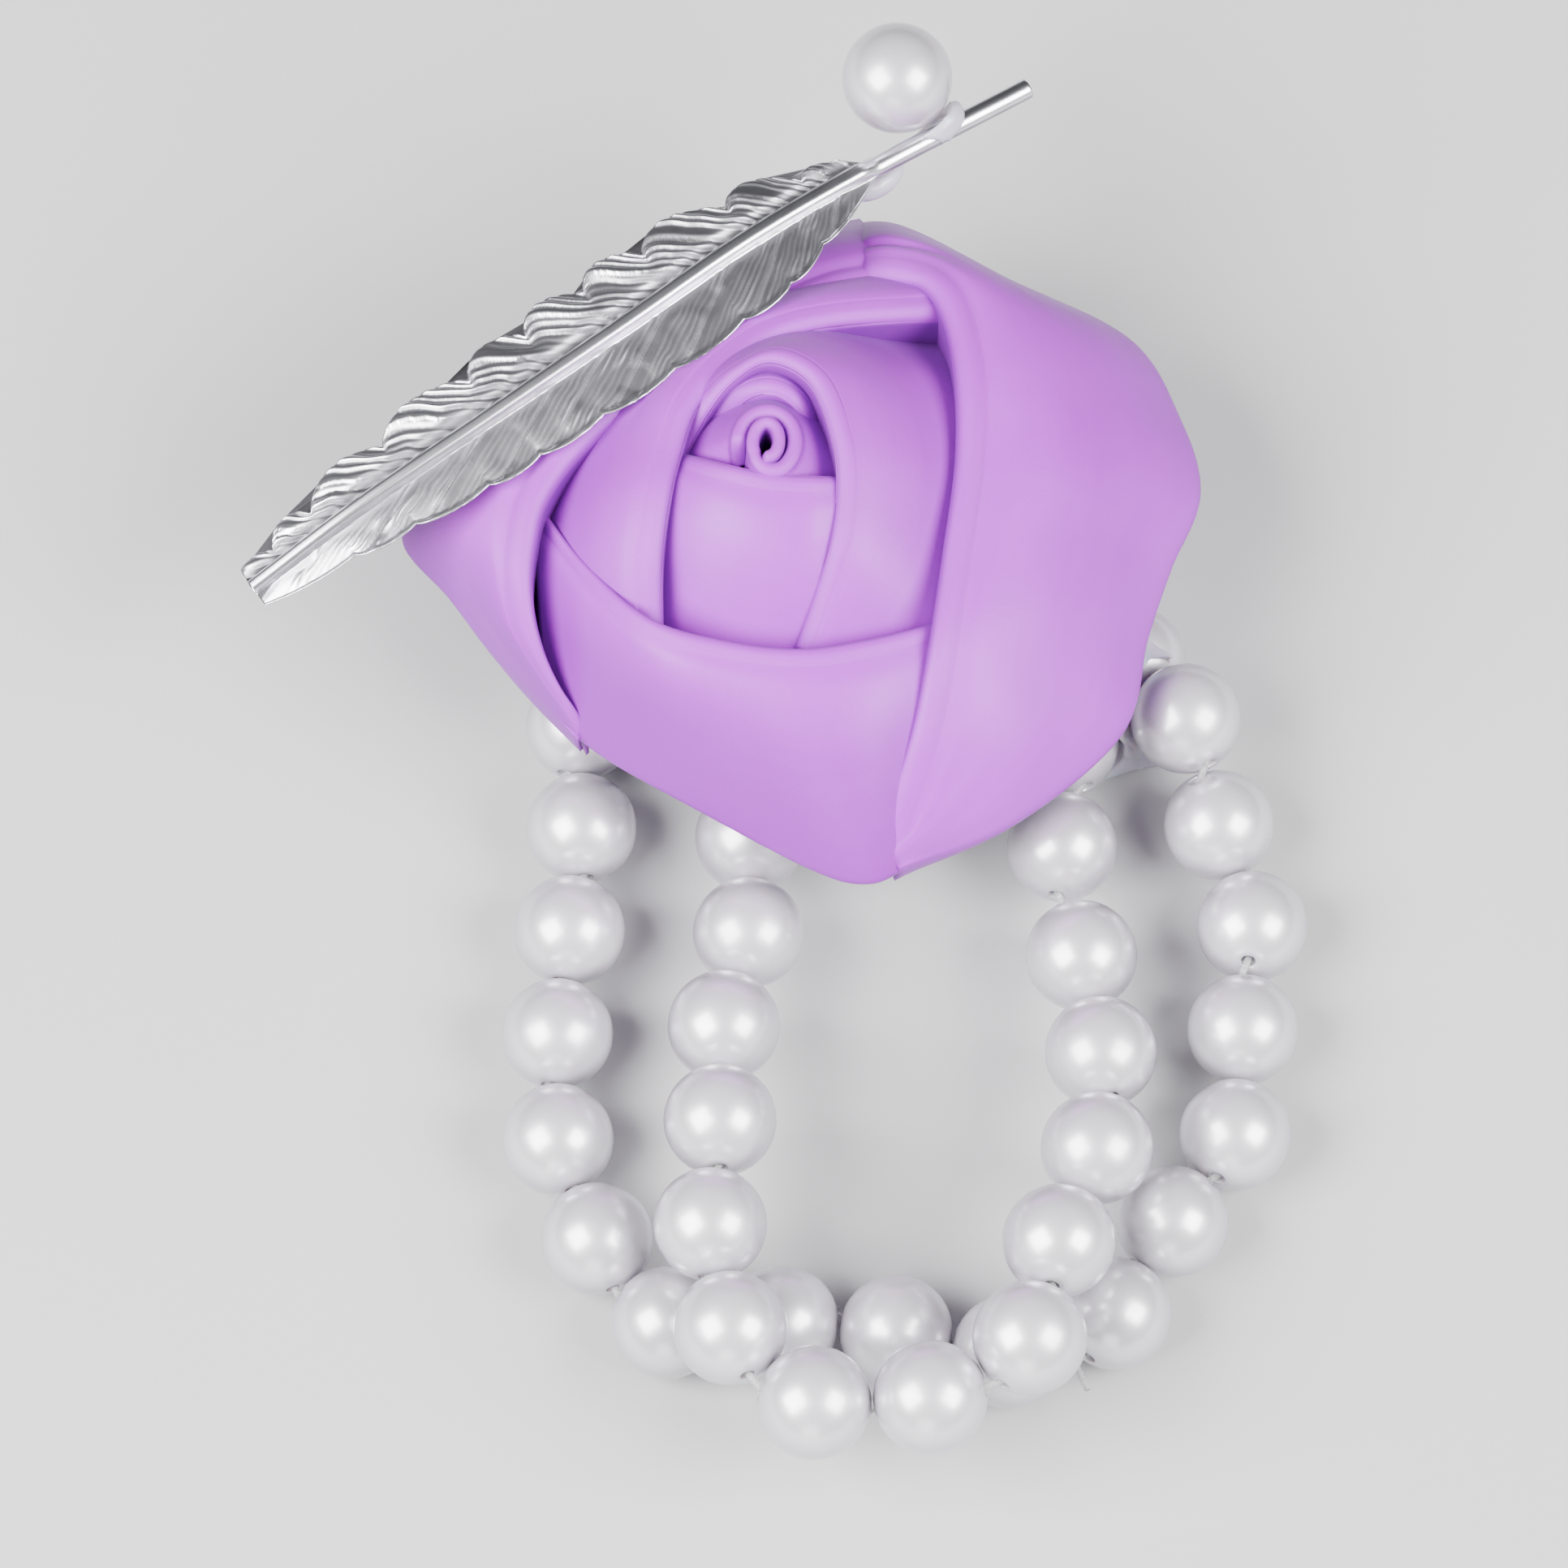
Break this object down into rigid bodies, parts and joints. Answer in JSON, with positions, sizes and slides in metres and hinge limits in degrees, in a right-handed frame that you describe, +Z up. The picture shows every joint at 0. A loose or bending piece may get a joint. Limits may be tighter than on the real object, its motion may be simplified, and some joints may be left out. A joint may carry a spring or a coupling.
{
  "type": "wrist corsage",
  "caption": "Wrist corsage: two strands of imitation pearls on clear elastic, glued to a plate with a folded satin rose, and a cast metal feather with a pearl on its quill.",
  "frame": {"origin": "on the flat underside of the glue bed, below the middle of the rose", "axes": "+Z up through the rose as the corsage lies on a table, the wrist loops reach towards -Y"},
  "size_m": [0.0756, 0.1018, 0.031],
  "materials": {
    "pearl": "pearlescent lacquer",
    "elastic": "clear, slightly milky",
    "glue": "translucent hot glue",
    "plate": "clear sheet",
    "satin": "matte lilac satin ribbon",
    "silver": "antique silver plate with dark recesses"
  },
  "bodies": {
    "root": {"back_pearl_01": "pearl", "back_pearl_17": "pearl", "back_pearl_18": "pearl", "back_pearl_19": "pearl", "back_pearl_20": "pearl", "back_pearl_21": "pearl", "back_pearl_22": "pearl", "back_pearl_23": "pearl", "front_pearl_15": "pearl", "front_pearl_16": "pearl", "front_pearl_17": "pearl", "front_pearl_18": "pearl", "back_elastic_glued": "elastic", "front_elastic_glued": "elastic", "glue_bed": "glue", "backing_plate": "plate", "rose_core": "satin", "rose_fold_1": "satin", "rose_fold_2": "satin", "rose_fold_3": "satin", "rose_fold_4": "satin", "rose_fold_5": "satin", "rose_fold_6": "satin", "rose_fold_7": "satin", "feather": "silver", "feather_pearl": "pearl", "pearl_glue": "glue", "quill_glue": "glue"},
    "back_loop": {"back_elastic_loop": "elastic"},
    "front_loop": {"front_elastic_loop": "elastic"},
    "back_pearl_02": {"back_pearl_02": "pearl"},
    "back_pearl_03": {"back_pearl_03": "pearl"},
    "back_pearl_04": {"back_pearl_04": "pearl"},
    "back_pearl_05": {"back_pearl_05": "pearl"},
    "back_pearl_06": {"back_pearl_06": "pearl"},
    "back_pearl_07": {"back_pearl_07": "pearl"},
    "back_pearl_08": {"back_pearl_08": "pearl"},
    "back_pearl_09": {"back_pearl_09": "pearl"},
    "back_pearl_10": {"back_pearl_10": "pearl"},
    "back_pearl_11": {"back_pearl_11": "pearl"},
    "back_pearl_12": {"back_pearl_12": "pearl"},
    "back_pearl_13": {"back_pearl_13": "pearl"},
    "back_pearl_14": {"back_pearl_14": "pearl"},
    "back_pearl_15": {"back_pearl_15": "pearl"},
    "back_pearl_16": {"back_pearl_16": "pearl"},
    "front_pearl_01": {"front_pearl_01": "pearl"},
    "front_pearl_02": {"front_pearl_02": "pearl"},
    "front_pearl_03": {"front_pearl_03": "pearl"},
    "front_pearl_04": {"front_pearl_04": "pearl"},
    "front_pearl_05": {"front_pearl_05": "pearl"},
    "front_pearl_06": {"front_pearl_06": "pearl"},
    "front_pearl_07": {"front_pearl_07": "pearl"},
    "front_pearl_08": {"front_pearl_08": "pearl"},
    "front_pearl_09": {"front_pearl_09": "pearl"},
    "front_pearl_10": {"front_pearl_10": "pearl"},
    "front_pearl_11": {"front_pearl_11": "pearl"},
    "front_pearl_12": {"front_pearl_12": "pearl"},
    "front_pearl_13": {"front_pearl_13": "pearl"},
    "front_pearl_14": {"front_pearl_14": "pearl"}
  },
  "joints": [
    {"name": "back_strand_lift", "type": "hinge", "parent": "root", "child": "back_loop", "pos_m": [0.007, -0.0223, 0.0069], "axis": [-1, 0, 0], "range_deg": [0, 60]},
    {"name": "front_strand_lift", "type": "hinge", "parent": "root", "child": "front_loop", "pos_m": [0.007, -0.0223, 0.0069], "axis": [-1, 0, 0], "range_deg": [0, 60]},
    {"name": "pearl_back_02_spin", "type": "hinge", "parent": "root", "child": "back_pearl_02", "pos_m": [-0.01583, -0.01724, 0.0039], "axis": [0.0885, -0.996, 0.013], "continuous": true},
    {"name": "pearl_back_03_spin", "type": "hinge", "parent": "back_loop", "child": "back_pearl_03", "pos_m": [-0.0166, -0.0252, 0.0039], "axis": [-0.1757, -0.9844, -0.0052], "continuous": true},
    {"name": "pearl_back_04_spin", "type": "hinge", "parent": "back_loop", "child": "back_pearl_04", "pos_m": [-0.01739, -0.03316, 0.0039], "axis": [-0.1395, -0.9902, 0.0018], "continuous": true},
    {"name": "pearl_back_05_spin", "type": "hinge", "parent": "back_loop", "child": "back_pearl_05", "pos_m": [-0.01729, -0.04116, 0.0039], "axis": [0.2818, -0.9595, -0.0007], "continuous": true},
    {"name": "pearl_back_06_spin", "type": "hinge", "parent": "back_loop", "child": "back_pearl_06", "pos_m": [-0.01444, -0.04864, 0.0039], "axis": [0.3109, -0.9505, 0.0007], "continuous": true},
    {"name": "pearl_back_07_spin", "type": "hinge", "parent": "back_loop", "child": "back_pearl_07", "pos_m": [-0.00943, -0.05488, 0.0039], "axis": [0.9134, -0.4071, -0.0017], "continuous": true},
    {"name": "pearl_back_08_spin", "type": "hinge", "parent": "back_loop", "child": "back_pearl_08", "pos_m": [-0.00143, -0.05484, 0.0039], "axis": [0.9528, 0.3035, 0.0049], "continuous": true},
    {"name": "pearl_back_09_spin", "type": "hinge", "parent": "back_loop", "child": "back_pearl_09", "pos_m": [0.00653, -0.05555, 0.0039], "axis": [0.9392, -0.3432, -0.0133], "continuous": true},
    {"name": "pearl_back_10_spin", "type": "hinge", "parent": "back_loop", "child": "back_pearl_10", "pos_m": [0.01439, -0.05705, 0.0039], "axis": [0.9817, -0.1875, 0.0337], "continuous": true},
    {"name": "pearl_back_11_spin", "type": "hinge", "parent": "back_loop", "child": "back_pearl_11", "pos_m": [0.02187, -0.05421, 0.0039], "axis": [0.5, 0.8637, -0.0634], "continuous": true},
    {"name": "pearl_back_12_spin", "type": "hinge", "parent": "back_loop", "child": "back_pearl_12", "pos_m": [0.02601, -0.04736, 0.0039], "axis": [0.647, 0.7529, 0.1203], "continuous": true},
    {"name": "pearl_back_13_spin", "type": "hinge", "parent": "back_loop", "child": "back_pearl_13", "pos_m": [0.03058, -0.0408, 0.0039], "axis": [0.3511, 0.914, -0.2033], "continuous": true},
    {"name": "pearl_back_14_spin", "type": "hinge", "parent": "back_loop", "child": "back_pearl_14", "pos_m": [0.0313, -0.03283, 0.0039], "axis": [-0.0485, 0.9474, 0.3163], "continuous": true},
    {"name": "pearl_back_15_spin", "type": "hinge", "parent": "back_loop", "child": "back_pearl_15", "pos_m": [0.03214, -0.02488, 0.0039], "axis": [0.1168, 0.8839, -0.4528], "continuous": true},
    {"name": "pearl_back_16_spin", "type": "hinge", "parent": "root", "child": "back_pearl_16", "pos_m": [0.02991, -0.01721, 0.00437], "axis": [-0.4462, 0.6069, 0.6577], "continuous": true},
    {"name": "pearl_front_01_spin", "type": "hinge", "parent": "root", "child": "front_pearl_01", "pos_m": [-0.00371, -0.01841, 0.00488], "axis": [0.1144, -0.9843, 0.1347], "continuous": true},
    {"name": "pearl_front_02_spin", "type": "hinge", "parent": "front_loop", "child": "front_pearl_02", "pos_m": [-0.00383, -0.0263, 0.00616], "axis": [-0.2172, -0.9642, 0.1522], "continuous": true},
    {"name": "pearl_front_03_spin", "type": "hinge", "parent": "front_loop", "child": "front_pearl_03", "pos_m": [-0.00556, -0.03399, 0.00754], "axis": [-0.139, -0.9646, 0.2242], "continuous": true},
    {"name": "pearl_front_04_spin", "type": "hinge", "parent": "front_loop", "child": "front_pearl_04", "pos_m": [-0.00578, -0.0418, 0.00928], "axis": [0.0007, -0.9831, 0.1831], "continuous": true},
    {"name": "pearl_front_05_spin", "type": "hinge", "parent": "front_loop", "child": "front_pearl_05", "pos_m": [-0.00643, -0.04975, 0.00981], "axis": [-0.0709, -0.9969, -0.0337], "continuous": true},
    {"name": "pearl_front_06_spin", "type": "hinge", "parent": "front_loop", "child": "front_pearl_06", "pos_m": [-0.00502, -0.05761, 0.01033], "axis": [0.3098, -0.9384, 0.153], "continuous": true},
    {"name": "pearl_front_07_spin", "type": "hinge", "parent": "front_loop", "child": "front_pearl_07", "pos_m": [0.00079, -0.06311, 0.01049], "axis": [0.9797, -0.1583, -0.123], "continuous": true},
    {"name": "pearl_front_08_spin", "type": "hinge", "parent": "front_loop", "child": "front_pearl_08", "pos_m": [0.00878, -0.06286, 0.01085], "axis": [0.9696, 0.0904, 0.2274], "continuous": true},
    {"name": "pearl_front_09_spin", "type": "hinge", "parent": "front_loop", "child": "front_pearl_09", "pos_m": [0.01564, -0.0589, 0.01198], "axis": [0.4907, 0.8713, -0.0066], "continuous": true},
    {"name": "pearl_front_10_spin", "type": "hinge", "parent": "front_loop", "child": "front_pearl_10", "pos_m": [0.0178, -0.05131, 0.01069], "axis": [0.1577, 0.9502, -0.2686], "continuous": true},
    {"name": "pearl_front_11_spin", "type": "hinge", "parent": "front_loop", "child": "front_pearl_11", "pos_m": [0.02059, -0.04393, 0.00938], "axis": [0.4026, 0.9101, -0.0983], "continuous": true},
    {"name": "pearl_front_12_spin", "type": "hinge", "parent": "front_loop", "child": "front_pearl_12", "pos_m": [0.02103, -0.03609, 0.00782], "axis": [-0.164, 0.9567, -0.2405], "continuous": true},
    {"name": "pearl_front_13_spin", "type": "hinge", "parent": "front_loop", "child": "front_pearl_13", "pos_m": [0.0198, -0.0282, 0.0065], "axis": [-0.2806, 0.9538, -0.1075], "continuous": true},
    {"name": "pearl_front_14_spin", "type": "hinge", "parent": "root", "child": "front_pearl_14", "pos_m": [0.0186, -0.0194, 0.0055], "axis": [0.1339, 0.9863, -0.0965], "continuous": true}
  ],
  "couplings": [
    {"joint": "front_strand_lift", "follows": "back_strand_lift", "ratio": 1}
  ]
}
